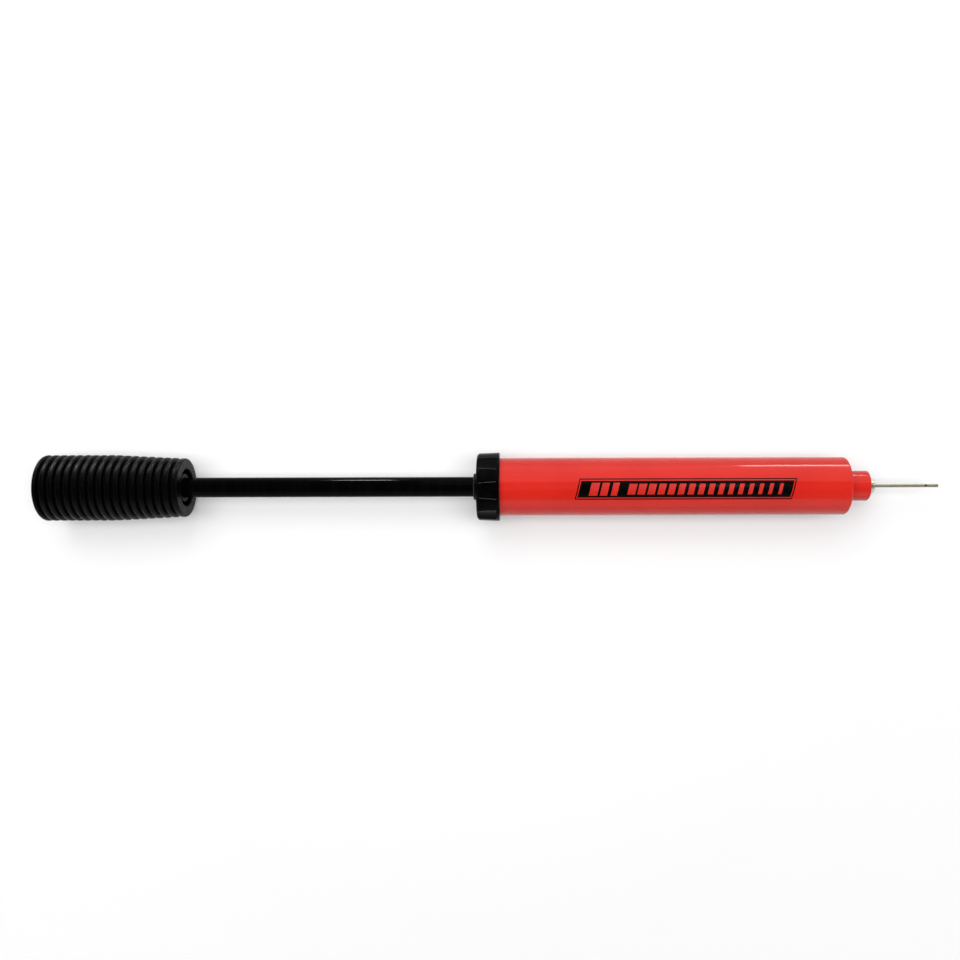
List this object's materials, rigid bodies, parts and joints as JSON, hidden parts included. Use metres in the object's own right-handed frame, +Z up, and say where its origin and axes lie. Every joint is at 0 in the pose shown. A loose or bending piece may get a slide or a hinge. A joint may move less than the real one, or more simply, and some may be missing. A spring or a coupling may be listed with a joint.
{
  "type": "ball inflation pump",
  "caption": "Hand pump for sports balls: red barrel, ribbed black handle on a sliding rod, screwed lobed collar and a steel inflating needle.",
  "frame": {"origin": "middle of the whole pump's length, on the surface it lies on, straight below its axis", "axes": "+X along the pump from the handle to the needle's tip, +Z up, pump lying on its side with the handle fully out"},
  "size_m": [0.4938, 0.0378, 0.0378],
  "materials": {
    "red_barrel_plastic": "glossy",
    "black_collar_plastic": "satin",
    "black_bush_plastic": "satin",
    "black_rod_finish": "glossy",
    "grip_rubber": "matte",
    "core_plastic": "satin",
    "piston_plastic": "matte",
    "seal_rubber": "matte",
    "plug_aluminium": "machined",
    "valve_brass": "machined",
    "spring_steel": "bright",
    "fastener_steel": "zinc plated",
    "needle_plated_metal": "plated, slightly dull"
  },
  "bodies": {
    "barrel": {"barrel": "red_barrel_plastic", "valve_seat": "valve_brass", "valve_spring": "spring_steel"},
    "valve_disc": {"valve_disc": "seal_rubber"},
    "collar_washer": {"collar_washer": "seal_rubber"},
    "collar": {"collar": "black_collar_plastic", "rod_guide_bush": "black_bush_plastic"},
    "piston_ring": {"piston_ring": "seal_rubber"},
    "plunger": {"rod": "black_rod_finish", "rod_front_plug": "plug_aluminium", "rod_rear_plug": "plug_aluminium", "piston_head": "piston_plastic", "piston_washer": "fastener_steel", "piston_screw": "fastener_steel", "handle_grip": "grip_rubber", "handle_core": "core_plastic", "handle_end_cap": "core_plastic", "handle_screw": "fastener_steel", "handle_washer": "fastener_steel"},
    "needle_gasket": {"needle_gasket": "seal_rubber"},
    "needle": {"needle_base": "needle_plated_metal", "needle_tube": "needle_plated_metal"}
  },
  "joints": [
    {"name": "plunger_stroke", "type": "slide", "parent": "collar_washer", "child": "piston_ring", "axis": [1, 0, 0], "range_m": [0, 0.158]},
    {"name": "plunger_twist", "type": "hinge", "parent": "piston_ring", "child": "plunger", "pos_m": [-0.1, 0, 0.0189], "axis": [1, 0, 0], "continuous": true},
    {"name": "collar_travel", "type": "slide", "parent": "barrel", "child": "collar_washer", "axis": [-1, 0, 0], "range_m": [0, 0.0057]},
    {"name": "collar_turn", "type": "hinge", "parent": "collar_washer", "child": "collar", "pos_m": [0, 0, 0.0189], "axis": [-1, 0, 0], "range_deg": [0, 990]},
    {"name": "needle_travel", "type": "slide", "parent": "barrel", "child": "needle_gasket", "axis": [1, 0, 0], "range_m": [0, 0.00596]},
    {"name": "needle_turn", "type": "hinge", "parent": "needle_gasket", "child": "needle", "pos_m": [0.21, 0, 0.0189], "axis": [1, 0, 0], "range_deg": [0, 2710]},
    {"name": "valve_lift", "type": "slide", "parent": "barrel", "child": "valve_disc", "axis": [1, 0, 0], "range_m": [0, 0.0015], "stiffness_N_per_m": 40, "springref_m": -0.0005, "deforming": ["valve_spring"]}
  ],
  "couplings": [
    {"joint": "collar_travel", "follows": "collar_turn", "m_per_rad": 0.00031831},
    {"joint": "needle_turn", "follows": "needle_travel", "rad_per_m": 7913.3}
  ]
}
